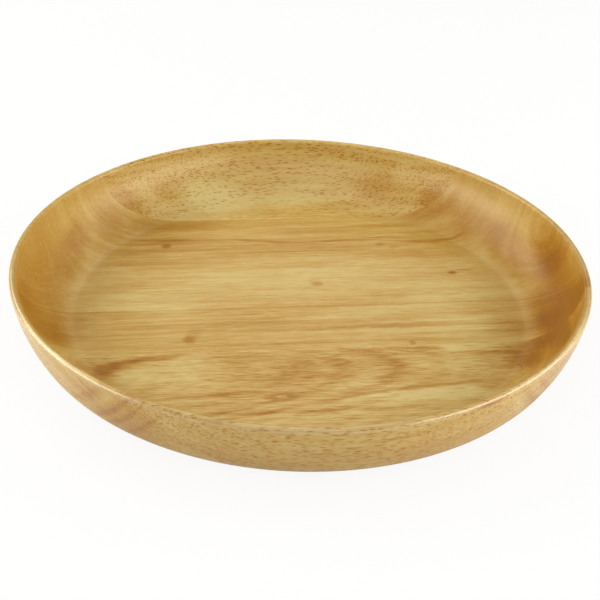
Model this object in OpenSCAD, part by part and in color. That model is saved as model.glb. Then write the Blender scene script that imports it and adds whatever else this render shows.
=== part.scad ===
// A turned wooden plate: one piece of edge-glued board, worked on a lathe.
// It has a flat floor, a coved inner wall, a slim rounded lip, an upright outer
// wall that turns in at the heel, and a flat foot ring round a shallow recess.
// The origin is at the middle of the foot, with +Z up.

/* [Rim] */
// Diameter over the widest part of the lip
rim_d = 300; // [220:1:420]
// Height from the foot to the top of the lip
plate_h = 38; // [34:0.5:46]
// Width of the wall at the lip, rounded over its whole width
lip_w = 3.6; // [2.4:0.1:5]

/* [Inside] */
// Thickness of the floor outside the recess of the foot
floor_t = 6.5; // [5:0.1:9]
// Distance from the widest part of the lip in to the edge of the flat floor
floor_inset = 32; // [28:0.5:35]
// Radius of the cove that starts at the edge of the flat floor
cove_r = 18; // [12:0.5:22]
// Radius of the inner wall above the cove
wall_in_r = 33; // [31:0.5:50]

/* [Outside] */
// Distance from the widest part of the lip in to the outer edge of the foot
foot_inset = 23; // [20:0.5:27]
// Radius of the heel, where the wall turns in under the plate
heel_r = 22; // [16:0.5:26]
// Depth of heel that the flat of the foot takes off
heel_cut = 0.5; // [0.2:0.1:1.5]
// Radius of the outer wall between the heel and the lip
wall_out_r = 70; // [50:1:140]

/* [Foot] */
// Width of the flat ring that the plate stands on
foot_w = 14; // [8:0.5:30]
// Depth of the turned recess inside the foot ring
recess_h = 1.5; // [0.6:0.1:2.5]
// Radius of the cove at the edge of the recess
recess_r = 4; // [2.5:0.5:8]

/* [Hidden] */
wood_colour = [0.83, 0.68, 0.43];
$fn = 240;

rim_r = rim_d / 2;
lip_r = lip_w / 2;
lip_c = [rim_r - lip_r, plate_h - lip_r];

floor_r = rim_r - floor_inset;
cove_c = [floor_r, floor_t + cove_r];

foot_r = rim_r - foot_inset;
heel_c = [foot_r - half_chord(heel_r, heel_cut), heel_r - heel_cut];

// The small arcs stand this much proud of the long arcs of the wall, so that the outlines
// cross at a point and leave no sliver between them
proud = 0.003;

// Half the width of the flat where a cut of a given depth is taken off a circle
function half_chord(r, depth) = sqrt(r * r - (r - depth) * (r - depth));

// Centre of the arc that meets two circles, given the distances from it to their centres.
// Of the two centres possible it takes the one nearer to the axis.
function arc_centre(a, dist_a, b, dist_b) =
    let (gap = norm(b - a))
    let (along = (gap * gap + dist_a * dist_a - dist_b * dist_b) / (2 * gap))
    let (off = sqrt(dist_a * dist_a - along * along))
    let (way = (b - a) / gap)
    a + along * way + off * [-way[1], way[0]];

// Height at which an arc of radius r about c meets the circle about a
function touch_z(c, r, a) = c[1] + r * (a[1] - c[1]) / norm(a - c);

// The arc of the outer wall runs round the outside of the heel and of the lip
wall_out_c = arc_centre(heel_c, wall_out_r - heel_r + proud, lip_c, wall_out_r - lip_r + proud);
heel_top = touch_z(wall_out_c, wall_out_r, heel_c);
lip_out = touch_z(wall_out_c, wall_out_r, lip_c);

// The arc of the inner wall runs round the outside of the cove and meets the lip from inside
wall_in_c = arc_centre(cove_c, wall_in_r - cove_r + proud, lip_c, wall_in_r + lip_r - proud);
cove_top = touch_z(wall_in_c, wall_in_r, cove_c);
lip_in = touch_z(wall_in_c, wall_in_r, lip_c);

// Disc of radius r about c, kept between two heights and on the near side of the axis
module disc_band(c, r, z0, z1) {
    intersection() {
        translate(c) circle(r = r);
        translate([0, z0]) square([rim_d, z1 - z0]);
    }
}

// Section of the blank: everything inside the outer surface, up to the root of the lip
module outside_section() {
    square([heel_c[0], lip_out]);
    disc_band(heel_c, heel_r, 0, lip_out);
    disc_band(wall_out_c, wall_out_r, heel_top, lip_out);
    translate([0, lip_out - lip_r]) square([lip_c[0], lip_in - lip_out + lip_r]);
}

// Section of the hollow: the flat floor, the cove and the inner wall, open at the top
module hollow_section() {
    translate([0, floor_t]) square([floor_r, plate_h]);
    disc_band(cove_c, cove_r, floor_t, cove_c[1]);
    disc_band(wall_in_c, wall_in_r, cove_top, plate_h);
}

// Section of the recess under the plate, coved at its edge
module recess_section() {
    flat_r = foot_r - foot_w - half_chord(recess_r, recess_h);
    translate([0, -recess_h]) square([flat_r, 2 * recess_h]);
    translate([flat_r, recess_h - recess_r]) circle(r = recess_r);
}

module plate() {
    color(wood_colour)
        rotate_extrude() {
            difference() {
                outside_section();
                hollow_section();
                recess_section();
            }
            translate(lip_c) circle(r = lip_r);
        }
}

plate();
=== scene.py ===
"""A turned wooden plate: the lathe shape, its lacquered wood, and a plain studio round it."""
import math

import bpy
from bpy.props import (
    FloatProperty,
    FloatVectorProperty,
    IntProperty,
    PointerProperty,
)
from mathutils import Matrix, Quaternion, Vector


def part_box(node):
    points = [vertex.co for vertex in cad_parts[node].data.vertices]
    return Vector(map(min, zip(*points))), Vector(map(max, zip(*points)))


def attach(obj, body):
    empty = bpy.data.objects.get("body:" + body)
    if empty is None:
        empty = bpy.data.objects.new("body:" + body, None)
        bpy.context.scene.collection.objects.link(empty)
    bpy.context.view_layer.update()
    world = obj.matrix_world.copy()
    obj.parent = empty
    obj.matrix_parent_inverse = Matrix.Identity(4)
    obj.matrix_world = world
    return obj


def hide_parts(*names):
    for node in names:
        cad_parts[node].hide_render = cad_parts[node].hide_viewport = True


bl_info = {
    "name": "Turned wooden plate",
    "version": (1, 0, 0),
    "blender": (4, 5, 0),
    "location": "3D View > Sidebar > Plate",
    "description": "Turns a shallow wooden plate and sets it on a plain studio floor",
    "category": "Add Mesh",
}

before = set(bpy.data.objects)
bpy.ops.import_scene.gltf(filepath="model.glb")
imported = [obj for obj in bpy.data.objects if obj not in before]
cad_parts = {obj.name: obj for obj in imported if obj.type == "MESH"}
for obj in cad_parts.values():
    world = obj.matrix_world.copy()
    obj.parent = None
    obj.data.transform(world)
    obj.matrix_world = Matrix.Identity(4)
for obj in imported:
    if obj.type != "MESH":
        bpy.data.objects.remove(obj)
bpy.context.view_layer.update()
PLATE_LOW, PLATE_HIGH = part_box("plate")
RIM_RADIUS = min(PLATE_HIGH.x, PLATE_HIGH.y, -PLATE_LOW.x, -PLATE_LOW.y)
PLATE_NAME = "turned_plate"
# Points closer than WELD become one, and an edge sharper than CREASE stays crisp.
WELD = 1e-5
CREASE = math.radians(25)


def srgb(red, green, blue):
    """A colour given as 0 to 255 on screen, as Blender's linear values."""
    def linear(c):
        c /= 255
        return c / 12.92 if c <= 0.04045 else ((c + 0.055) / 1.055) ** 2.4
    return (linear(red), linear(green), linear(blue))


# What a user would change.


class PlateSizes(bpy.types.PropertyGroup):
    """Sizes of the turned section."""
    rim_radius: FloatProperty(
        name="Rim radius", description="From the axis to the outside of the lip",
        default=RIM_RADIUS, unit="LENGTH", precision=4)
    height: FloatProperty(
        name="Height", description="From the foot to the top of the lip",
        default=PLATE_HIGH.z, unit="LENGTH", precision=4)
    lip_width: FloatProperty(
        name="Lip width", description="Thickness of the rounded lip",
        default=0.0036, unit="LENGTH", precision=4)
    floor_thickness: FloatProperty(
        name="Floor thickness", description="From the foot to the floor inside",
        default=0.0065, unit="LENGTH", precision=4)
    floor_inset: FloatProperty(
        name="Floor inset", description="From the rim in to where the flat floor ends",
        default=0.032, unit="LENGTH", precision=4)
    cove_radius: FloatProperty(
        name="Cove radius", description="Curve from the floor into the wall",
        default=0.018, unit="LENGTH", precision=4)
    inner_wall_radius: FloatProperty(
        name="Inner wall radius", description="Curve of the wall inside",
        default=0.033, unit="LENGTH", precision=4)
    outer_wall_radius: FloatProperty(
        name="Outer wall radius", description="Curve of the wall outside",
        default=0.070, unit="LENGTH", precision=4)
    heel_radius: FloatProperty(
        name="Heel radius", description="Curve from the outer wall to the foot",
        default=0.022, unit="LENGTH", precision=4)
    heel_cut: FloatProperty(
        name="Heel cut", description="How deep the foot is faced off the heel curve",
        default=0.0005, unit="LENGTH", precision=4)
    foot_inset: FloatProperty(
        name="Foot inset", description="From the rim in to the outside of the foot",
        default=0.023, unit="LENGTH", precision=4)
    foot_width: FloatProperty(
        name="Foot width", description="Width of the flat ring the plate stands on",
        default=0.014, unit="LENGTH", precision=4)
    recess_height: FloatProperty(
        name="Recess height", description="How far the underside is hollowed",
        default=0.0015, unit="LENGTH", precision=4)
    recess_radius: FloatProperty(
        name="Recess radius", description="Curve at the edge of the hollow underneath",
        default=0.004, unit="LENGTH", precision=4)
    steps: IntProperty(
        name="Steps", description="Faces round the plate", default=360, min=24)


class WoodLooks(bpy.types.PropertyGroup):
    """Colours and finish of the wood."""
    grain_turn: FloatProperty(
        name="Grain turn", description="Turn of the grain about the plate's axis",
        default=math.radians(7.5), subtype="ANGLE")
    pale: FloatVectorProperty(
        name="Pale wood", description="Colour of the palest wood",
        default=srgb(210, 189, 127), subtype="COLOR", min=0, max=1)
    honey: FloatVectorProperty(
        name="Honey wood", description="Colour of most of the wood",
        default=srgb(190, 153, 79), subtype="COLOR", min=0, max=1)
    brown: FloatVectorProperty(
        name="Brown wood", description="Colour of the dark streaks",
        default=srgb(166, 115, 24), subtype="COLOR", min=0, max=1)
    knot: FloatVectorProperty(
        name="Knot", description="Colour of knots and pores",
        default=srgb(146, 92, 12), subtype="COLOR", min=0, max=1)
    floor_roughness: FloatProperty(
        name="Floor roughness", description="Roughness of the lacquer on the flat floor",
        default=0.24, min=0, max=1, subtype="FACTOR")
    wall_roughness: FloatProperty(
        name="Wall roughness", description="Roughness of the lacquer on the turned walls",
        default=0.32, min=0, max=1, subtype="FACTOR")


class StudioLooks(bpy.types.PropertyGroup):
    """Floor and lamps."""
    floor_colour: FloatVectorProperty(
        name="Floor colour", description="Colour of the plain pale floor",
        default=(0.88, 0.88, 0.88), subtype="COLOR", min=0, max=1)
    surround: FloatProperty(
        name="Surround", description="Brightness of the room all round",
        default=0.2, min=0)
    top_power: FloatProperty(
        name="Top lamp", description="Power of the soft lamp overhead",
        default=2.5, min=0, unit="POWER")
    front_power: FloatProperty(
        name="Front lamp", description="Power of the soft lamp above the camera",
        default=3.1, min=0, unit="POWER")
    right_power: FloatProperty(
        name="Right lamp", description="Power of the soft lamp at the right",
        default=8.2, min=0, unit="POWER")
    left_power: FloatProperty(
        name="Left lamp", description="Power of the soft lamp at the left",
        default=6.2, min=0, unit="POWER")
    high_right_power: FloatProperty(
        name="High right lamp", description="Power of the soft lamp high up at the right",
        default=2.3, min=0, unit="POWER")
    high_left_power: FloatProperty(
        name="High left lamp", description="Power of the soft lamp high up at the left",
        default=4.8, min=0, unit="POWER")
    back_power: FloatProperty(
        name="Back lamp", description="Power of the pale panel behind",
        default=1.5, min=0, unit="POWER")


# Node helpers.


class Bench:
    """Lays nodes in a tree. A value may be a number, a tuple or another node's socket."""

    def __init__(self, tree):
        self.tree = tree
        self.count = 0

    def put(self, socket, value):
        if isinstance(value, bpy.types.NodeSocket):
            self.tree.links.new(value, socket)
        elif value is not None:
            socket.default_value = value

    def add(self, kind, values=(), **settings):
        node = self.tree.nodes.new(kind)
        node.location = (200 * (self.count // 8), -180 * (self.count % 8))
        self.count += 1
        for name, setting in settings.items():
            setattr(node, name, setting)
        pairs = values.items() if isinstance(values, dict) else enumerate(values)
        for key, value in pairs:
            self.put(node.inputs[key], value)
        return node

    def math(self, operation, a, b=None, c=None, clamp=False):
        return self.add("ShaderNodeMath", (a, b, c)[:3 if c is not None else 2],
                        operation=operation, use_clamp=clamp).outputs[0]

    def vector(self, operation, a, b=None, scale=None):
        node = self.add("ShaderNodeVectorMath", (a, b), operation=operation)
        if scale is not None:
            self.put(node.inputs["Scale"], scale)
        return node.outputs["Value" if operation == "LENGTH" else "Vector"]

    def ease(self, value, low, high, to_low=0.0, to_high=1.0):
        """Smooth change from to_low to to_high as value goes from low to high."""
        return self.add("ShaderNodeMapRange", (value, low, high, to_low, to_high),
                        interpolation_type="SMOOTHSTEP").outputs[0]

    def noise(self, vector, detail=2.0, rough=0.5):
        """Soft noise from 0 to 1, about one lump to each unit of the vector."""
        return self.add("ShaderNodeTexNoise", {
            "Vector": vector, "Scale": 1.0, "Detail": detail, "Roughness": rough}).outputs[0]


def new_group(name, kind, inputs, outputs):
    """An empty node group with named sockets. Returns its tree, bench, inputs and output node."""
    tree = bpy.data.node_groups.new(name, kind)
    for socket_name, socket_type, default in inputs:
        s = tree.interface.new_socket(socket_name, in_out="INPUT", socket_type=socket_type)
        if default is not None:
            s.default_value = default
    for socket_name, socket_type in outputs:
        tree.interface.new_socket(socket_name, in_out="OUTPUT", socket_type=socket_type)
    bench = Bench(tree)
    given = bench.add("NodeGroupInput").outputs
    result = bench.add("NodeGroupOutput").inputs
    return tree, bench, given, result


FLOAT, VECTOR, INT = "NodeSocketFloat", "NodeSocketVector", "NodeSocketInt"
GEOMETRY, MATERIAL = "NodeSocketGeometry", "NodeSocketMaterial"


# The turned section.


def arc_centre(a, from_a, b, from_b):
    """The point at those distances from a and b, the one nearer the axis."""
    gap = b - a
    apart = gap.length
    along = (apart ** 2 + from_a ** 2 - from_b ** 2) / (2 * apart)
    aside = math.sqrt(from_a ** 2 - along ** 2)
    forward = gap / apart
    foot = a + forward * along
    sides = (foot + Vector((-forward.y, forward.x)) * aside,
             foot - Vector((-forward.y, forward.x)) * aside)
    return min(sides, key=lambda p: p.x)


def steepness(centre, point):
    """Turn from straight down, about centre, to the point."""
    return math.atan2(point.x - centre.x, centre.y - point.y)


def section(s):
    """The section from the axis inside, over the lip and back to the axis underneath.
    An arc is (name, centre, radius, from, to, rings), a flat (name, from, to, height, rings)."""
    lip_r = s.lip_width / 2
    lip_c = Vector((s.rim_radius - lip_r, s.height - lip_r))
    floor_r = s.rim_radius - s.floor_inset
    cove_c = Vector((floor_r, s.floor_thickness + s.cove_radius))
    foot_r = s.rim_radius - s.foot_inset
    heel_drop = s.heel_radius - s.heel_cut
    heel_c = Vector((foot_r - math.sqrt(s.heel_radius ** 2 - heel_drop ** 2), heel_drop))
    out_c = arc_centre(heel_c, s.outer_wall_radius - s.heel_radius,
                       lip_c, s.outer_wall_radius - lip_r)
    in_c = arc_centre(cove_c, s.inner_wall_radius - s.cove_radius,
                      lip_c, s.inner_wall_radius + lip_r)
    inner_foot_r = foot_r - s.foot_width
    recess_drop = s.recess_radius - s.recess_height
    recess_c = Vector((inner_foot_r - math.sqrt(s.recess_radius ** 2 - recess_drop ** 2),
                       -recess_drop))
    cove_end, wall_end = steepness(in_c, cove_c), steepness(in_c, lip_c)
    lip_end, heel_start = steepness(out_c, lip_c), steepness(out_c, heel_c)
    arcs = (
        ("Cove", cove_c, s.cove_radius, 0, cove_end, 8),
        ("Inner wall", in_c, s.inner_wall_radius, cove_end, wall_end, 34),
        ("Lip", lip_c, lip_r, wall_end + math.pi, lip_end, 22),
        ("Outer wall", out_c, s.outer_wall_radius, lip_end, heel_start, 26),
        ("Heel", heel_c, s.heel_radius, heel_start,
         steepness(heel_c, Vector((foot_r, 0))), 18),
        ("Recess edge", recess_c, s.recess_radius,
         steepness(recess_c, Vector((inner_foot_r, 0))), math.pi, 6),
    )
    flats = (
        ("Floor", 0, floor_r, s.floor_thickness, 12),
        ("Foot", foot_r, inner_foot_r, 0, 3),
        ("Recess", recess_c.x, 0, s.recess_height, 10),
    )
    return arcs, flats


def swept_grid(bench, steps, rings):
    """A flat grid, the turn of each of its points round the axis, and how far along the band."""
    side_x = bench.math("ADD", steps, 1)
    side_y = bench.math("ADD", rings, 1)
    grid = bench.add("GeometryNodeMeshGrid", (1.0, 1.0, side_x, side_y)).outputs["Mesh"]
    place = bench.add("GeometryNodeInputPosition").outputs[0]
    split = bench.add("ShaderNodeSeparateXYZ", (place,)).outputs
    turn = bench.math("MULTIPLY", bench.math("ADD", split["X"], 0.5), math.tau)
    share = bench.math("ADD", split["Y"], 0.5)
    return grid, turn, share


def set_ring(bench, grid, turn, radius, height):
    """Puts the grid's points at that radius, height and turn."""
    place = bench.add("ShaderNodeCombineXYZ", (
        bench.math("MULTIPLY", radius, bench.math("COSINE", turn)),
        bench.math("MULTIPLY", radius, bench.math("SINE", turn)),
        height)).outputs[0]
    return bench.add("GeometryNodeSetPosition",
                     {"Geometry": grid, "Position": place}).outputs[0]


def turned_arc_group():
    tree, bench, given, result = new_group("Turned arc", "GeometryNodeTree", (
        ("Centre", VECTOR, None), ("Radius", FLOAT, 0.02), ("From", FLOAT, 0.0),
        ("To", FLOAT, 1.0), ("Rings", INT, 8), ("Steps", INT, 360)),
        (("Band", GEOMETRY),))
    grid, turn, share = swept_grid(bench, given["Steps"], given["Rings"])
    sweep = bench.math("SUBTRACT", given["To"], given["From"])
    steep = bench.math("ADD", given["From"], bench.math("MULTIPLY", sweep, share))
    centre = bench.add("ShaderNodeSeparateXYZ", (given["Centre"],)).outputs
    out = bench.math("MULTIPLY", given["Radius"], bench.math("SINE", steep))
    down = bench.math("MULTIPLY", given["Radius"], bench.math("COSINE", steep))
    radius = bench.math("ADD", centre["X"], out)
    height = bench.math("SUBTRACT", centre["Y"], down)
    bench.put(result["Band"], set_ring(bench, grid, turn, radius, height))
    return tree


def turned_flat_group():
    tree, bench, given, result = new_group("Turned flat", "GeometryNodeTree", (
        ("From", FLOAT, 0.0), ("To", FLOAT, 0.1), ("Height", FLOAT, 0.0),
        ("Rings", INT, 8), ("Steps", INT, 360)),
        (("Band", GEOMETRY),))
    grid, turn, share = swept_grid(bench, given["Steps"], given["Rings"])
    sweep = bench.math("SUBTRACT", given["To"], given["From"])
    radius = bench.math("ADD", given["From"], bench.math("MULTIPLY", sweep, share))
    bench.put(result["Band"], set_ring(bench, grid, turn, radius, given["Height"]))
    return tree


def turned_plate_tree(arcs, flats, steps):
    """The whole plate from its bands. Returns the tree and the value of each input by name."""
    values = {"Steps": steps}
    kinds = {"Steps": INT}
    for name, centre, radius, start, end, rings in arcs:
        values.update({f"{name} centre": (centre.x, centre.y, 0), f"{name} radius": radius,
                       f"{name} from": start, f"{name} to": end, f"{name} rings": rings})
        kinds[f"{name} centre"] = VECTOR
        kinds[f"{name} rings"] = INT
    for name, start, end, height, rings in flats:
        values.update({f"{name} from": start, f"{name} to": end,
                       f"{name} height": height, f"{name} rings": rings})
        kinds[f"{name} rings"] = INT
    sockets = [(name, kinds.get(name, FLOAT), None) for name in values]
    sockets.append(("Wood", MATERIAL, None))
    tree, bench, given, result = new_group(
        "Turned plate", "GeometryNodeTree", sockets, (("Plate", GEOMETRY),))
    join = bench.add("GeometryNodeJoinGeometry")
    for group, bands, parts in (
            (turned_arc_group(), arcs, ("centre", "radius", "from", "to", "rings")),
            (turned_flat_group(), flats, ("from", "to", "height", "rings"))):
        for band in bands:
            node = bench.add("GeometryNodeGroup", node_tree=group)
            for part in parts:
                bench.put(node.inputs[part.capitalize()], given[f"{band[0]} {part}"])
            bench.put(node.inputs["Steps"], given["Steps"])
            tree.links.new(node.outputs["Band"], join.inputs[0])
    welded = bench.add("GeometryNodeMergeByDistance",
                       {"Geometry": join.outputs[0], "Distance": WELD}).outputs[0]
    smooth = bench.add("GeometryNodeSetShadeSmooth",
                       {"Geometry": welded, "Shade Smooth": True}).outputs[0]
    angle = bench.add("GeometryNodeInputMeshEdgeAngle").outputs[0]
    crisp = bench.add("FunctionNodeCompare", (angle, CREASE),
                      data_type="FLOAT", operation="GREATER_THAN").outputs[0]
    edged = bench.add("GeometryNodeSetShadeSmooth",
                      {"Geometry": smooth, "Selection": crisp, "Shade Smooth": False},
                      domain="EDGE").outputs[0]
    real = bench.add("GeometryNodeRealizeInstances", (edged,)).outputs[0]
    wood = bench.add("GeometryNodeSetMaterial",
                     {"Geometry": real, "Material": given["Wood"]}).outputs[0]
    bench.put(result["Plate"], wood)
    return tree, values


def turn_plate(sizes, wood):
    """Runs the tree once and keeps its result as a plain mesh."""
    arcs, flats = section(sizes)
    tree, values = turned_plate_tree(arcs, flats, sizes.steps)
    blank = bpy.data.objects.new("blank", bpy.data.meshes.new("blank"))
    bpy.context.scene.collection.objects.link(blank)
    lathe = blank.modifiers.new("Lathe", "NODES")
    lathe.node_group = tree
    for item in tree.interface.items_tree:
        if item.item_type == "SOCKET" and item.in_out == "INPUT":
            lathe[item.identifier] = wood if item.name == "Wood" else values[item.name]
    graph = bpy.context.evaluated_depsgraph_get()
    mesh = bpy.data.meshes.new_from_object(blank.evaluated_get(graph))
    mesh.name = PLATE_NAME
    blank.modifiers.remove(lathe)
    bpy.data.objects.remove(blank)
    plate = bpy.data.objects.new(PLATE_NAME, mesh)
    bpy.context.scene.collection.objects.link(plate)
    return plate


# The wood.

MILLIMETRES = 1000
# Joints between the boards, in millimetres across the grain from the plate's axis.
FAR_JOINT, NEAR_JOINT = 101.0, -41.0
# Distances from the axis, in millimetres, over which one finish or figure eases into the next.
WALL = (112.0, 126.0)
WALL_RINGS = (112.0, 128.0)
WALL_WISPS = (108.0, 124.0)
WALL_FINISH = (104.0, 121.0)
LIP = (145.5, 147.5)
# Heights, and places across the grain, over which the lip's heavier coat comes in.
LIP_COAT_UP, LIP_COAT_ACROSS = (35.0, 36.4), (40.0, -20.0)
LIP_COAT_ROUGHNESS, LIP_COAT_IOR = 0.3, 1.8
LACQUER_IOR = 1.5
GRAIN_DEPTH = 0.0002


def ring_group():
    """Growth rings about a pith line. Tone is 0 to 1, and Depth is the distance to the pith."""
    tree, bench, given, result = new_group("Growth rings", "ShaderNodeTree", (
        ("Vector", VECTOR, None), ("Pith", VECTOR, None), ("Lean", VECTOR, None),
        ("Ring width", FLOAT, 4.0), ("Wander", FLOAT, 3.0)),
        (("Tone", FLOAT), ("Depth", FLOAT)))
    wander = bench.noise(bench.vector("MULTIPLY", given["Vector"], (0.008, 0.02, 0.02)),
                         detail=1.0)
    offset = bench.math("MULTIPLY", bench.math("SUBTRACT", wander, 0.5), given["Wander"])
    split = bench.add("ShaderNodeSeparateXYZ", (given["Vector"],)).outputs
    pith = bench.add("ShaderNodeSeparateXYZ", (given["Pith"],)).outputs
    lean = bench.add("ShaderNodeSeparateXYZ", (given["Lean"],)).outputs
    across = bench.math("SUBTRACT", split["Y"], bench.math(
        "MULTIPLY_ADD", split["X"], lean["Y"], pith["Y"]))
    up = bench.math("SUBTRACT", split["Z"], bench.math(
        "MULTIPLY_ADD", split["X"], lean["Z"], pith["Z"]))
    square = bench.math("ADD", bench.math("MULTIPLY", across, across),
                        bench.math("MULTIPLY", up, up))
    depth = bench.math("ADD", bench.math("SQRT", square), offset)
    count = bench.math("DIVIDE", depth, given["Ring width"])
    along = bench.math("MULTIPLY", split["X"], 0.012)
    place = bench.add("ShaderNodeCombineXYZ", (count, along, 0.0)).outputs[0]
    tone = bench.noise(place, detail=3.0, rough=0.6)
    bench.put(result["Tone"], bench.ease(tone, 0.3, 0.7))
    bench.put(result["Depth"], depth)
    return tree


def pore_group():
    """Open pores: thin dashes along the grain, which end grain shows as dots."""
    tree, bench, given, result = new_group("Pores", "ShaderNodeTree", (
        ("Vector", VECTOR, None), ("Length", FLOAT, 14.0), ("Spacing", FLOAT, 1.5),
        ("Width", FLOAT, 0.17)),
        (("Mask", FLOAT),))
    size = bench.add("ShaderNodeCombineXYZ",
                     (given["Length"], given["Spacing"], given["Spacing"])).outputs[0]
    place = bench.vector("DIVIDE", given["Vector"], size)
    cell = bench.add("ShaderNodeTexVoronoi", {"Vector": place, "Scale": 1.0,
                     "Randomness": 1.0}, feature="F1").outputs["Distance"]
    inner = bench.math("MULTIPLY", given["Width"], 0.45)
    bench.put(result["Mask"], bench.ease(cell, given["Width"], inner))
    return tree


def fibre_group():
    """Fine lines along the grain, from -1 to 1."""
    tree, bench, given, result = new_group("Fibres", "ShaderNodeTree", (
        ("Vector", VECTOR, None), ("Length", FLOAT, 30.0), ("Width", FLOAT, 0.9)),
        (("Tone", FLOAT),))
    size = bench.add("ShaderNodeCombineXYZ",
                     (given["Length"], given["Width"], given["Width"])).outputs[0]
    place = bench.vector("DIVIDE", given["Vector"], size)
    lines = bench.noise(place, detail=2.0, rough=0.55)
    bench.put(result["Tone"], bench.math("MULTIPLY", bench.math("SUBTRACT", lines, 0.5), 2.0))
    return tree


# Broad shades and marks of this plate's figure, in millimetres of the grain's frame:
# place (along, across, up), half sizes, turn in degrees, bend, and how much darker the wood is
# (paler below 0). A bend of 1 lifts a mark's ends by its own half width. The shades on the
# inner walls at the plate's left and right ends, and on the outside of the near board, are only
# partly the wood's tone. They are also painted shade, darkening those walls where less light
# falls on them.
FAR_SHADES = (
    ((74, 116, 18), (44, 16, 14), -20, 0, 0.12),
    ((-70, 112, 8), (50, 9, 9), 0, 0, -0.06),
    ((-38, 122, 14), (28, 14, 14), 0, 0, -0.34),
    ((8, 121, 14), (38, 10, 14), 0, 0, -0.16),
    ((99, 103, 16), (18, 10, 14), 0, 0, 0.36),
    ((-96, 104, 16), (18, 12, 14), 0, 0, 0.36),
    ((60, 122, 16), (16, 9, 14), 0, 0, 0.1),
    ((-66, 121, 16), (18, 8, 14), 0, 0, 0.12),
    ((80, 122, 26), (12, 8, 10), 0, 0, -0.14),
)
MIDDLE_TONES_AND_PAINTED_SHADE = (
    ((-90, 84, 10), (36, 28, 24), 0, 0, 0.12),
    ((108, 86, 10), (34, 28, 24), 0, 0, 0.13),
    ((0, 70, 6), (120, 18, 14), 0, 0, 0.1),
    ((0, 92, 6), (120, 18, 14), 0, 0, 0.06),
    ((-66, 72, 6), (22, 12, 9), 0, 0, 0.12),
    ((-24, 31, 6), (95, 22, 14), 0, 0, -0.12),
    ((-62, 95, 8), (34, 9, 9), 0, 0, 0.2),
    ((86, 98, 10), (16, 7, 12), 0, 0, 0.24),
    ((110, 76, 16), (12, 20, 14), 0, 0, 0.16),
    ((-40, -12, 6), (56, 16, 9), 0, 0, 0.06),
    ((-66, -14, 6), (20, 12, 9), 0, 0, -0.08),
    ((0, -37, 6), (110, 8, 9), 0, 0, 0.08),
    ((-88, 55, 6), (26, 12, 9), 0, 0, 0.14),
    ((-96, 36, 6), (16, 10, 9), 0, 0, -0.12),
    ((-78, 8, 6), (34, 20, 9), 0, 0, -0.16),
    ((80, 10, 6), (30, 18, 9), 0, 0, -0.16),
    ((20, 24, 6), (70, 12, 9), 0, 0, -0.07),
    ((50, -6, 6), (60, 9, 9), 0, 0, -0.07),
    ((-20, 80, 6), (26, 9, 9), 0, 0, -0.14),
    ((100, 94, 18), (11, 10, 12), 0, 0, 0.18),
    ((-104, 88, 16), (12, 16, 14), 0, 0, 0.16),
    ((86, 57, 6), (32, 12, 9), 0, 0, 0.15),
    ((50, 38, 6), (54, 10, 9), 0, 0, -0.14),
    # From here on most shades sit on the inner walls at the plate's right and left ends: partly
    # wood tone, partly painted shade that darkens those walls more than the lamps do.
    ((136, -20, 20), (20, 62, 26), 0, 0, 0.32),
    ((126, 50, 14), (12, 42, 14), 0, 0, 0.38),
    ((124, -34, 10), (18, 18, 12), 0, 0, 0.24),
    ((138, -36, 24), (14, 24, 18), 0, 0, 0.2),
    ((82, -24, 6), (24, 18, 9), 0, 0, -0.2),
    ((108, -26, 7), (12, 12, 9), 0, 0, 0.14),
    ((138, 4, 24), (12, 26, 18), 0, 0, 0.24),
    ((141, 22, 26), (12, 24, 20), 0, 0, 0.28),
    ((119, 62, 14), (10, 14, 12), 0, 0, 0.12),
    ((-124, 50, 12), (10, 26, 12), 0, 0, 0.22),
    ((-138, -16, 26), (12, 24, 14), 0, 0, 0.18),
    ((-121, 68, 14), (10, 16, 12), 0, 0, 0.12),
    ((-136, 0, 20), (20, 75, 26), 0, 0, 0.3),
    ((-121, -14, 12), (11, 26, 12), 0, 0, 0.16),
    ((-121, 70, 14), (10, 18, 12), 0, 0, 0.14),
    ((-128, -28, 12), (14, 14, 12), 0, 0, 0.2),
)
NEAR_TONES_AND_PAINTED_SHADE = (
    ((-108, -56, 10), (14, 18, 12), 0, 0, 0.25),
    ((-74, -58, 6), (28, 14, 9), 0, 0, -0.22),
    ((-22, -56, 6), (14, 10, 9), 0, 0, -0.16),
    ((60, -60, 6), (20, 10, 9), 0, 0, -0.14),
    ((-100, -64, 8), (12, 10, 9), 0, 0, 0.16),
    ((-6, -58, 6), (84, 19, 9), 0, 0, 0.18),
    ((-6, -64, 6), (18, 16, 9), 0, 0, 0.1),
    ((80, -44, 6), (18, 7, 9), 0, 0, -0.24),
    ((108, -56, 8), (16, 14, 10), 0, 0, 0.12),
    ((-10, -43, 6), (60, 5, 9), 0, 0, -0.1),
    ((54, -84, 6), (44, 8, 9), 3, 0, -0.25),
    # From here the inner wall at the near right: partly wood tone, partly painted shade on that
    # wall.
    ((119, -57, 12), (22, 26, 16), 0, 0, 0.42),
    ((122, -44, 12), (16, 10, 14), 0, 0, 0.26),
    ((104, -62, 8), (14, 14, 10), 0, 0, 0.1),
    ((88, -80, 7), (14, 6, 9), 20, 0, 0.15),
    ((134, -50, 20), (16, 30, 20), 0, 0, 0.42),
    # On the outside of the near board: partly wood tone, partly painted shade at its ends and
    # front.
    ((-92, -114, 20), (30, 22, 26), 0, 0, 0.22),
    ((-106, -96, 24), (18, 18, 12), 0, 0, 0.14),
    ((108, -100, 20), (26, 30, 26), 0, 0, 0.26),
    ((-30, -138, 20), (50, 14, 26), 0, 0, 0.08),
    ((60, -134, 20), (60, 18, 26), 0, 0, 0.06),
)
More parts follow.
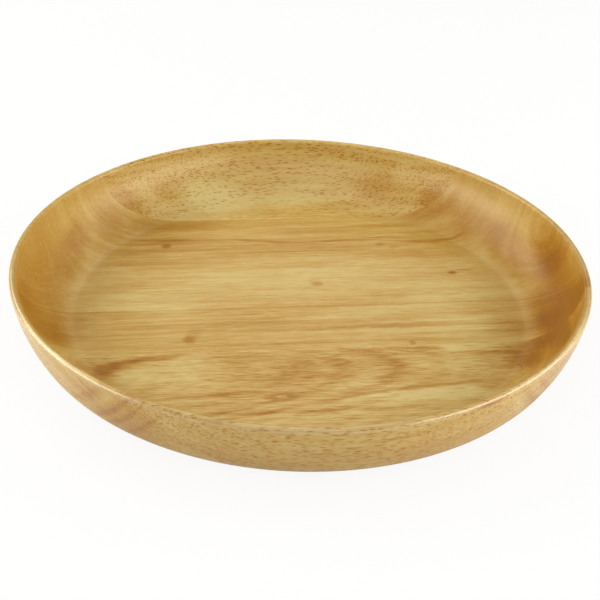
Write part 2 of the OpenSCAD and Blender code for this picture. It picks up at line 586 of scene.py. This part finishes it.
MIDDLE_MARKS = (
    ((-70, 70, 6), (3.6, 3.2, 9), 0, 0, 0.45),
    ((-66, 76, 6), (12, 3.0, 9), 0, 0, 0.15),
    ((55, 66, 6), (3.4, 2.2, 9), 0, 0, 0.25),
    ((63, 63, 6), (5, 2.0, 9), 0, 0, 0.15),
    ((12, 23, 6), (4.5, 3.0, 9), 10, 0, 0.35),
    ((10, 27, 6), (7, 2.0, 9), 20, 0, 0.12),
    ((91, 31, 6), (3.2, 2.4, 9), 0, 0, 0.5),
    ((98, 34, 6), (6, 1.0, 9), 0, 0, 0.3),
    ((-60, -30, 6), (4.2, 4.6, 9), 20, 0, 0.22),
    ((-58, -25, 6), (5, 8, 9), -20, 0, 0.15),
    ((54, -40, 6), (2, 4, 9), 0, 0, 0.25),
    ((-12, 73, 6), (26, 1.6, 9), -8, 0.6, 0.25),
    ((30, 72, 6), (30, 1.4, 9), 2, -0.8, 0.28),
    ((85, 69, 7), (28, 2.2, 9), 3, 1.6, 0.3),
    ((62, 74, 6), (22, 1.2, 9), -3, -0.6, 0.25),
    ((0, 60, 6), (80, 1.0, 9), 0, 0, 0.15),
    ((0, -23, 6), (130, 2.2, 9), 0, 0, 0.16),
    ((-10, -15, 6), (120, 1.2, 9), 0, 0, 0.12),
    ((-20, -36, 6), (90, 1.0, 9), 0, 0, 0.16),
    ((70, -31, 6), (50, 1.2, 9), 0, 0, 0.08),
)
NEAR_MARKS = (
    ((-17, -82, 6), (9, 4.5, 9), 0, 0, 0.3),
    ((-17, -82, 6), (4, 1.8, 9), 0, 0, -0.3),
    ((-55, -79, 6), (32, 1.8, 9), 4, 0, 0.3),
    ((50, -78, 6), (48, 1.8, 9), 7, -1.5, 0.35),
    ((-5, -94, 6), (70, 1.6, 9), 0, 0, 0.25),
    ((92, -50, 6), (20, 2.2, 9), -3, 0, 0.28),
    ((-79, -46, 6), (24, 3.4, 9), 10, 0, 0.4),
    ((-92, -50, 6), (10, 5, 9), 10, 0, 0.3),
    ((-101, -53, 6), (8, 6.5, 9), 20, 0, 0.4),
    ((62, -45, 6), (10, 1.6, 9), 0, 0, 0.25),
    ((30, -44, 6), (60, 1.4, 9), 0, 0, 0.15),
    ((69, -132, 36), (10, 9, 1.0), 0, 0, 0.5),
)
# Growth layers that reach the outside of the near board at its two ends, as above but seen in
# a frame that leans outwards by END_LEAN for each millimetre up.
END_LEAN = 0.6
LEFT_LAYERS = (
    ((-112, -104, 19), (2.6, 24, 30), 0, 0, 0.16),
    ((-99.5, -110, 19), (2.2, 24, 30), 0, 0, 0.24),
    ((-93, -112, 19), (2.0, 24, 30), 0, 0, 0.22),
    ((-84, -116, 19), (2.2, 24, 30), 0, 0, 0.2),
    ((-106, -108, 19), (3.0, 24, 30), 0, 0, -0.15),
)
RIGHT_LAYERS = (
    ((97, -110, 19), (3.0, 24, 30), 0, 0, 0.22),
    ((89, -116, 19), (3.0, 24, 30), 0, 0, -0.1),
    ((106, -104, 19), (2.4, 24, 30), 0, 0, 0.15),
)
# Distances from the near board's pith of the rings that show as dashed loops on the floor,
# with how much darker each is.
NEAR_LOOPS = ((65.2, 0.08), (68.4, 0.2), (71.5, 0.15), (74.0, 0.08))
# The long line that leans through the middle board: where it meets the plate's floor, which is
# FLOOR_UP above the foot, and its lean. Beyond it the inner wall at the plate's right end is
# darker, partly wood and partly painted shade of that wall.
LINE_AT, LINE_LEAN, FLOOR_UP = -0.8, 0.8, 6.5
LINE_PLACE = LINE_AT + LINE_LEAN * FLOOR_UP
DARK_END = (117.0, 128.0)
# How far wisps shift the marks, in millimetres.
WISP_SHIFT = (24, 5, 5)
# The height about which the layers at the near board's ends lean.
LAYER_UP = 19.0
# Where along the grain the near board's outside turns from porous to closed.
POROUS = (98.0, 84.0)


def mark_group():
    """One soft mark. Adds Amount to Tone inside a bent oval about the centre."""
    tree, bench, given, result = new_group("Mark", "ShaderNodeTree", (
        ("Along", FLOAT, 0.0), ("Across", FLOAT, 0.0), ("Up", FLOAT, 0.0),
        ("Centre along", FLOAT, 0.0), ("Centre across", FLOAT, 0.0), ("Centre up", FLOAT, 0.0),
        ("Half length", FLOAT, 10.0), ("Half width", FLOAT, 2.0), ("Half height", FLOAT, 9.0),
        ("Turn", FLOAT, 0.0), ("Bend", FLOAT, 0.0), ("Amount", FLOAT, 0.2),
        ("Tone", FLOAT, 0.0)), (("Tone", FLOAT),))
    along = bench.math("SUBTRACT", given["Along"], given["Centre along"])
    across = bench.math("SUBTRACT", given["Across"], given["Centre across"])
    up = bench.math("DIVIDE", bench.math("SUBTRACT", given["Up"], given["Centre up"]),
                    given["Half height"])
    cosine = bench.math("COSINE", given["Turn"])
    sine = bench.math("SINE", given["Turn"])
    length = bench.math("DIVIDE", bench.math("MULTIPLY_ADD", along, cosine, bench.math(
        "MULTIPLY", across, sine)), given["Half length"])
    width = bench.math("DIVIDE", bench.math("SUBTRACT", bench.math(
        "MULTIPLY", across, cosine), bench.math("MULTIPLY", along, sine)), given["Half width"])
    square = bench.math("MULTIPLY", length, length)
    width = bench.math("SUBTRACT", width, bench.math("MULTIPLY", square, given["Bend"]))
    square = bench.math("MULTIPLY_ADD", width, width, square)
    square = bench.math("MULTIPLY_ADD", up, up, square)
    spot = bench.ease(bench.math("SQRT", square), 1.2, 0.3)
    bench.put(result["Tone"], bench.math("MULTIPLY_ADD", spot, given["Amount"], given["Tone"]))
    return tree


def wood_material(looks):
    """Lacquered wood in glued boards, patterned in millimetres of the grain's own frame."""
    material = bpy.data.materials.new("Lacquered wood")
    material.use_nodes = True
    tree = material.node_tree
    tree.nodes.clear()
    bench = Bench(tree)
    here = bench.add("ShaderNodeTexCoord").outputs["Object"]
    grain = bench.add("ShaderNodeMapping", (
        here, (0, 0, 0), (0, 0, -looks.grain_turn), (MILLIMETRES,) * 3),
        vector_type="POINT").outputs[0]
    split = bench.add("ShaderNodeSeparateXYZ", (grain,)).outputs
    ring_tree, mark_tree, fibre_tree = ring_group(), mark_group(), fibre_group()

    def group(node_tree, **values):
        node = bench.add("ShaderNodeGroup", node_tree=node_tree)
        for name, value in values.items():
            bench.put(node.inputs[name.replace("_", " ")], value)
        return node.outputs

    def pick(mask, a, b):
        return bench.add("ShaderNodeMix", {0: mask, 2: a, 3: b}).outputs[0]

    def add_marks(tone, marks, along, across, up):
        for centre, size, turn, bend, amount in marks:
            tone = group(mark_tree, Along=along, Across=across, Up=up,
                         Centre_along=centre[0], Centre_across=centre[1], Centre_up=centre[2],
                         Half_length=size[0], Half_width=size[1], Half_height=size[2],
                         Turn=math.radians(turn), Bend=bend, Amount=amount, Tone=tone)["Tone"]
        return tone

    from_axis = bench.vector("LENGTH", bench.vector("MULTIPLY", grain, (1, 1, 0)))
    is_far = bench.math("GREATER_THAN", split["Y"], FAR_JOINT)
    is_near = bench.math("LESS_THAN", split["Y"], NEAR_JOINT)

    wisp_scale = bench.vector("MULTIPLY", grain, (0.05, 0.35, 0.15))
    wisp = bench.add("ShaderNodeTexNoise", {"Vector": wisp_scale, "Scale": 1.0,
                     "Detail": 2.0}).outputs["Color"]
    shift = bench.vector("MULTIPLY", bench.vector("SUBTRACT", wisp, (0.5, 0.5, 0.5)),
                         WISP_SHIFT)
    calm = bench.vector("SCALE", shift, scale=bench.ease(from_axis, *WALL_WISPS, 1.0, 0.15))
    wispy = bench.vector("ADD", grain, calm)
    nearly = bench.vector("ADD", grain, bench.vector("MULTIPLY", shift, (0.15, 0.3, 0.3)))
    soft_place = tuple(bench.add("ShaderNodeSeparateXYZ", (wispy,)).outputs)
    mark_place = tuple(bench.add("ShaderNodeSeparateXYZ", (nearly,)).outputs)

    long_fibres = group(fibre_tree, Vector=grain, Length=70.0, Width=1.8)["Tone"]
    short_fibres = group(fibre_tree, Vector=grain, Length=10.0, Width=0.6)["Tone"]
    pore_tree = pore_group()
    pores = group(pore_tree, Vector=grain, Length=5.5, Spacing=1.05, Width=0.42)["Mask"]
    dashes = group(pore_tree, Vector=nearly, Length=11.0, Spacing=1.1, Width=0.3)["Mask"]

    far = group(ring_tree, Vector=grain, Pith=(0, 130, 90), Lean=(0, 0, 0.02),
                Ring_width=5.0, Wander=4.0)["Tone"]
    far_pores = bench.math("MULTIPLY", pores, bench.math("MULTIPLY_ADD", far, 0.42, 0.2))
    far = bench.math("MULTIPLY_ADD", far, 0.2, 0.16)
    far = add_marks(far, FAR_SHADES, *soft_place)
    far = bench.math("ADD", far, far_pores)

    middle = group(ring_tree, Vector=grain, Pith=(0, 32, 32), Lean=(0, 0.02, 0),
                   Ring_width=5.0, Wander=5.0)["Tone"]
    middle = bench.math("MULTIPLY_ADD", middle, bench.ease(
        from_axis, *WALL_RINGS, 0.22, 0.14), 0.25)
    middle = add_marks(middle, MIDDLE_TONES_AND_PAINTED_SHADE, *soft_place)
    middle = add_marks(middle, MIDDLE_MARKS, *mark_place)
    lean = bench.math("MULTIPLY_ADD", split["Z"], LINE_LEAN, split["Y"])
    line = bench.math("ABSOLUTE", bench.math("SUBTRACT", lean, LINE_PLACE))
    middle = bench.math("MULTIPLY_ADD", bench.ease(line, 1.0, 0.0), 0.2, middle)
    # Painted shade, with darker wood, on the inner wall at the right end beyond the leaning line.
    dark_and_shaded_end = bench.math("MULTIPLY", bench.ease(lean, LINE_PLACE, -1.0),
                        bench.ease(split["X"], *DARK_END))
    middle = bench.math("MULTIPLY_ADD", dark_and_shaded_end, 0.2, middle)
    middle = bench.math("MULTIPLY_ADD", dashes, 0.08, middle)

    loops = group(ring_tree, Vector=grain, Pith=(0, -61, -60), Lean=(0, 0, -0.115),
                  Ring_width=3.15, Wander=1.0)
    near = bench.math("MULTIPLY_ADD", loops["Tone"], 0.2, 0.2)
    near = add_marks(near, NEAR_TONES_AND_PAINTED_SHADE, *soft_place)
    near = add_marks(near, NEAR_MARKS, *mark_place)
    above = bench.math("SUBTRACT", split["Z"], LAYER_UP)
    for layers, leaning in ((LEFT_LAYERS, -END_LEAN), (RIGHT_LAYERS, END_LEAN)):
        leant = bench.math("MULTIPLY_ADD", above, leaning, split["X"])
        near = add_marks(near, layers, leant, split["Y"], split["Z"])
    broken = bench.ease(short_fibres, -0.5, 0.3, 0.3, 1.2)
    for depth, amount in NEAR_LOOPS:
        off = bench.math("ABSOLUTE", bench.math("SUBTRACT", loops["Depth"], depth))
        loop = bench.math("MULTIPLY", bench.ease(off, 1.3, 0.1), broken)
        near = bench.math("MULTIPLY_ADD", loop, amount, near)
    near = bench.math("MULTIPLY_ADD", dashes, 0.3, near)
    on_wall = bench.ease(from_axis, *WALL)
    porous = bench.math("MULTIPLY", on_wall, bench.ease(
        bench.math("ABSOLUTE", split["X"]), *POROUS, 0.12, 0.45))
    near = bench.math("MULTIPLY_ADD", pores, porous, near)

    tone = pick(is_near, pick(is_far, middle, far), near)
    busy = bench.math("MULTIPLY", pick(is_near, 0.34, 0.6),
                      bench.ease(from_axis, *WALL, 1.0, 0.35))
    tone = bench.math("MULTIPLY_ADD", long_fibres,
                      bench.ease(from_axis, *WALL, 0.24, 0.16), tone)
    tone = bench.math("MULTIPLY_ADD", short_fibres, busy, tone)

    ramp = bench.add("ShaderNodeValToRGB", (tone,))
    stops = ramp.color_ramp.elements
    stops[0].position, stops[0].color = 0.0, (*looks.pale, 1)
    stops[1].position, stops[1].color = 1.0, (*looks.knot, 1)
    for place, colour in ((0.4, looks.honey), (0.75, looks.brown)):
        stop = stops.new(place)
        stop.color = (*colour, 1)
    finish = bench.ease(from_axis, *WALL_FINISH, looks.floor_roughness, looks.wall_roughness)
    finish = bench.math("ADD", finish, bench.ease(from_axis, *LIP, 0.0, -0.1))
    dark = bench.math("MULTIPLY", bench.ease(tone, 0.45, 1.0, 0.0, 0.12),
                      bench.math("SUBTRACT", 1.0, on_wall))
    rough = bench.math("ADD", finish, dark, clamp=True)
    relief = bench.math("MULTIPLY_ADD", pores, -1.0, bench.math("MULTIPLY", short_fibres, 0.2))
    bump = bench.add("ShaderNodeBump", {"Height": relief, "Strength": 0.25,
                     "Distance": GRAIN_DEPTH})
    lip_coat = bench.math("MULTIPLY", bench.ease(split["Z"], *LIP_COAT_UP),
                          bench.ease(split["Y"], *LIP_COAT_ACROSS))
    shader = bench.add("ShaderNodeBsdfPrincipled", {
        "Base Color": ramp.outputs[0], "Roughness": rough, "Normal": bump.outputs[0],
        "IOR": LACQUER_IOR, "Coat Weight": lip_coat,
        "Coat IOR": LIP_COAT_IOR, "Coat Roughness": LIP_COAT_ROUGHNESS})
    bench.add("ShaderNodeOutputMaterial", {"Surface": shader.outputs[0]})
    return material


# The studio.

CAMERA_DISTANCE = 0.64845
CAMERA_ELEVATION = math.radians(32.102)
CAMERA_ROLL = math.radians(2.245)
CAMERA_AIM = Vector((0.0001, 0.0168, 0))
LENS, SENSOR = 72.0, 36.0
FLOOR_HALF = 20.0
# Sines of the heights above the floor between which the room goes from dim to pale, and the
# share of its light that the dim part keeps.
LOW_ROOM, HIGH_ROOM, DIM_SHARE = 0.26, 0.46, 0.15
# How far from the axis the floor's shadow fades from full to faint, in metres, and how white
# the floor looks there and further out.
SHADOW_FROM, SHADOW_TO = 0.135, 0.19
SHADED_WHITE, CLEAR_WHITE = 0.2, 0.9
WARM_LAMP, WARM_PANEL = (1.0, 0.95, 0.76), (1.0, 0.96, 0.8)


def soft_lamp(name, place, width, height, power, facing=(0, 0, 0)):
    """A rectangle of light at place, turned to face a point."""
    data = bpy.data.lights.new(name, "AREA")
    data.shape = "RECTANGLE"
    data.size, data.size_y = width, height
    data.energy = power
    lamp = bpy.data.objects.new(name, data)
    lamp.location = place
    lamp.rotation_mode = "QUATERNION"
    lamp.rotation_quaternion = (Vector(facing) - lamp.location).to_track_quat("-Z", "Y")
    bpy.context.scene.collection.objects.link(lamp)
    return lamp


def floor_material(looks):
    """A pale floor that looks white from the camera and keeps a soft share of the shadow."""
    material = bpy.data.materials.new("Pale floor")
    material.use_nodes = True
    tree = material.node_tree
    tree.nodes.clear()
    bench = Bench(tree)
    matt = bench.add("ShaderNodeBsdfDiffuse", {"Color": (*looks.floor_colour, 1)}).outputs[0]
    white = bench.add("ShaderNodeEmission", {"Color": (1, 1, 1, 1), "Strength": 1.0}).outputs[0]
    path = bench.add("ShaderNodeLightPath").outputs
    seen = bench.math("MAXIMUM", path["Is Camera Ray"], bench.math(
        "MAXIMUM", path["Is Glossy Ray"], path["Is Transmission Ray"]))
    here = bench.add("ShaderNodeTexCoord").outputs["Object"]
    clear = bench.ease(bench.vector("LENGTH", here), SHADOW_FROM, SHADOW_TO,
                       SHADED_WHITE, CLEAR_WHITE)
    clear = bench.math("MAXIMUM", clear, bench.math(
        "MULTIPLY", path["Is Camera Ray"], CLEAR_WHITE))
    share = bench.math("MULTIPLY", seen, clear)
    surface = bench.add("ShaderNodeMixShader", (share, matt, white)).outputs[0]
    bench.add("ShaderNodeOutputMaterial", {"Surface": surface})
    return material


def build_camera():
    data = bpy.data.cameras.new("Camera")
    data.lens, data.sensor_width = LENS, SENSOR
    data.clip_start, data.clip_end = 0.05, 50
    camera = bpy.data.objects.new("Camera", data)
    bpy.context.scene.collection.objects.link(camera)
    camera.location = (0, -math.cos(CAMERA_ELEVATION) * CAMERA_DISTANCE,
                       math.sin(CAMERA_ELEVATION) * CAMERA_DISTANCE)
    camera.rotation_mode = "QUATERNION"
    look = (CAMERA_AIM - camera.location).to_track_quat("-Z", "Y")
    camera.rotation_quaternion = look @ Quaternion((0, 0, 1), CAMERA_ROLL)
    bpy.context.scene.camera = camera


def build_floor(looks):
    half = FLOOR_HALF
    mesh = bpy.data.meshes.new("floor")
    mesh.from_pydata([(-half, -half, 0), (half, -half, 0), (half, half, 0), (-half, half, 0)],
                     [], [(0, 1, 2, 3)])
    mesh.materials.append(floor_material(looks))
    floor = bpy.data.objects.new("floor", mesh)
    bpy.context.scene.collection.objects.link(floor)


def light_studio(looks):
    """A room that is dim near the floor and pale above, and soft lamps round the plate."""
    world = bpy.data.worlds.new("Studio")
    bpy.context.scene.world = world
    world.use_nodes = True
    tree = world.node_tree
    tree.nodes.clear()
    bench = Bench(tree)
    way = bench.add("ShaderNodeTexCoord").outputs["Generated"]
    height = bench.add("ShaderNodeSeparateXYZ", (way,)).outputs["Z"]
    strength = bench.ease(height, LOW_ROOM, HIGH_ROOM, looks.surround * DIM_SHARE,
                          looks.surround)
    room = bench.add("ShaderNodeBackground", {"Color": (1, 1, 1, 1), "Strength": strength})
    bench.add("ShaderNodeOutputWorld", {"Surface": room.outputs[0]})
    soft_lamp("Top lamp", (0, 0.1, 1.3), 0.9, 0.8, looks.top_power)
    soft_lamp("Front lamp", (0, -1.0, 0.95), 1.2, 0.7, looks.front_power)
    sides = (
        soft_lamp("Right lamp", (0.83, -0.22, 0.31), 1.25, 0.5, looks.right_power),
        soft_lamp("Left lamp", (-0.85, -0.12, 0.31), 0.85, 0.5, looks.left_power),
        soft_lamp("High right lamp", (0.78, 0.50, 0.70), 0.87, 0.5, looks.high_right_power),
        soft_lamp("High left lamp", (-0.78, 0.50, 0.70), 0.87, 0.55, looks.high_left_power))
    for lamp in sides:
        lamp.data.color = WARM_LAMP
    panel = soft_lamp("Back panel", (-0.01, 1.3, 1.1), 0.52, 0.8, looks.back_power,
                      (-0.01, 0, 1.1))
    panel.data.color = WARM_PANEL


# Operators and panel.


class PLATE_OT_turn(bpy.types.Operator):
    """Turn the plate and give it its wood"""
    bl_idname = "plate.turn"
    bl_label = "Turn the plate"

    def execute(self, context):
        scene = context.scene
        wood = wood_material(scene.plate_wood)
        plate = turn_plate(scene.plate_sizes, wood)
        if not plate.data.polygons:
            raise RuntimeError("the lathe tree made no faces")
        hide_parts("plate")
        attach(plate, "root")
        return {"FINISHED"}


class PLATE_OT_stage(bpy.types.Operator):
    """Lay the floor and set the camera and lamps"""
    bl_idname = "plate.stage"
    bl_label = "Set the stage"

    def execute(self, context):
        looks = context.scene.plate_studio
        build_floor(looks)
        build_camera()
        light_studio(looks)
        view = context.scene.view_settings
        view.view_transform = "Standard"
        return {"FINISHED"}


class PLATE_PT_panel(bpy.types.Panel):
    """Sizes, colours and steps of the turned plate"""
    bl_idname = "PLATE_PT_panel"
    bl_label = "Turned plate"
    bl_space_type = "VIEW_3D"
    bl_region_type = "UI"
    bl_category = "Plate"

    def draw(self, context):
        scene = context.scene
        for group in (scene.plate_sizes, scene.plate_wood, scene.plate_studio):
            box = self.layout.box()
            for name in group.__annotations__:
                box.prop(group, name)
        self.layout.operator(PLATE_OT_turn.bl_idname)
        self.layout.operator(PLATE_OT_stage.bl_idname)


CLASSES = (PlateSizes, WoodLooks, StudioLooks, PLATE_OT_turn, PLATE_OT_stage, PLATE_PT_panel)
GROUPS = (("plate_sizes", PlateSizes), ("plate_wood", WoodLooks), ("plate_studio", StudioLooks))


def register():
    for cls in CLASSES:
        bpy.utils.register_class(cls)
    for name, group in GROUPS:
        setattr(bpy.types.Scene, name, PointerProperty(type=group))


def unregister():
    for name, _ in GROUPS:
        delattr(bpy.types.Scene, name)
    for cls in reversed(CLASSES):
        bpy.utils.unregister_class(cls)


def main():
    register()
    bpy.ops.plate.turn()
    bpy.ops.plate.stage()


if __name__ == "__main__":
    main()
